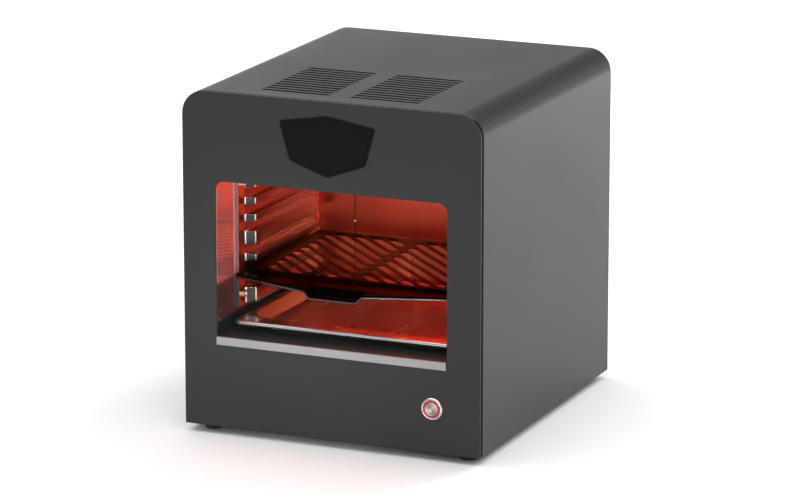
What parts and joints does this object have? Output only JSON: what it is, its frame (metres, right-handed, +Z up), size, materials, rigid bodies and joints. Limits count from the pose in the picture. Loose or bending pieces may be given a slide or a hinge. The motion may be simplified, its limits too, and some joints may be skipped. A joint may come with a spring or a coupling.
{
  "type": "electric grill",
  "caption": "Countertop electric grill: grey steel casing with an open-front heated cavity, side racks, sliding slotted grill pan and drip tray, top heating element and a push switch.",
  "frame": {"origin": "centre of the bounding box in plan, on the surface that the feet stand on", "axes": "+Z up; the open front faces -Y, so the pan and the tray slide out along -Y; +X is to the right seen from the front"},
  "size_m": [0.35, 0.4014, 0.384],
  "materials": {
    "grey_powder_coat": "fine matt powder coat",
    "black_paint": "satin paint",
    "black_rubber": "matt",
    "brushed_steel": "brushed",
    "polished_steel": "polished",
    "galvanised_steel": "zinc plated",
    "black_enamel": "gloss enamel",
    "element_sheath": "oxidised and glowing hot",
    "ceramic": "unglazed",
    "mineral_wool": "fibrous",
    "red_lens": "clear lit lens",
    "gloss_black": "gloss",
    "black_plastic": "moulded",
    "white_plastic": "moulded",
    "green_board": "lacquered board",
    "spring_steel": "drawn wire",
    "red_insulation": "silicone sleeve",
    "blue_insulation": "silicone sleeve",
    "brown_insulation": "silicone sleeve"
  },
  "bodies": {
    "housing": {"outer_shell": "grey_powder_coat", "front_panel": "grey_powder_coat", "rear_panel": "grey_powder_coat", "base_plate": "black_paint", "front_frame": "black_paint", "foot_front_left": "black_rubber", "foot_front_right": "black_rubber", "foot_rear_left": "black_rubber", "foot_rear_right": "black_rubber", "rear_screw_low_left": "galvanised_steel", "rear_screw_low_right": "galvanised_steel", "rear_screw_middle_left": "galvanised_steel", "rear_screw_middle_right": "galvanised_steel", "rear_screw_top_left": "galvanised_steel", "rear_screw_top_right": "galvanised_steel", "base_screw_front_left": "galvanised_steel", "base_screw_front_right": "galvanised_steel", "base_screw_rear_left": "galvanised_steel", "base_screw_rear_right": "galvanised_steel", "floor_support_left": "galvanised_steel", "floor_support_right": "galvanised_steel", "cavity_floor": "brushed_steel", "cavity_side_left": "polished_steel", "cavity_side_right": "polished_steel", "cavity_back": "polished_steel", "ceiling_reflector": "polished_steel", "insulation_blanket": "mineral_wool", "heat_shield": "galvanised_steel", "rack_left": "brushed_steel", "rack_right": "brushed_steel", "rack_nut_left_lower": "polished_steel", "rack_nut_left_upper": "polished_steel", "rack_nut_right_lower": "polished_steel", "rack_nut_right_upper": "polished_steel", "heating_element": "element_sheath", "element_comb_front": "galvanised_steel", "element_comb_rear": "galvanised_steel", "element_bushing_left": "ceramic", "element_bushing_right": "ceramic", "switch_body": "brushed_steel", "button_light_ring": "red_lens", "button_spring": "spring_steel", "switch_nut": "brushed_steel", "switch_insert": "black_plastic", "badge_plate": "gloss_black", "relay_board": "green_board", "power_relay": "black_plastic", "terminal_block": "white_plastic", "thermal_cutout": "white_plastic", "cable_gland": "black_plastic", "gland_nut": "black_plastic", "lead_neutral": "blue_insulation", "lead_supply": "brown_insulation", "lead_cutout": "brown_insulation", "lead_element": "red_insulation", "lead_switch": "red_insulation"},
    "grill_pan": {"grill_pan": "black_enamel"},
    "drip_tray": {"drip_tray": "polished_steel"},
    "button": {"button_cap": "brushed_steel"}
  },
  "joints": [
    {"name": "grill_pan_slide", "type": "slide", "parent": "housing", "child": "grill_pan", "axis": [0, -1, 0], "range_m": [0, 0.265]},
    {"name": "drip_tray_slide", "type": "slide", "parent": "housing", "child": "drip_tray", "axis": [0, -1, 0], "range_m": [0, 0.27]},
    {"name": "button_press", "type": "slide", "parent": "housing", "child": "button", "axis": [0, 1, 0], "range_m": [0, 0.0025], "stiffness_N_per_m": 400, "springref_m": -0.002, "deforming": ["button_spring"]}
  ]
}
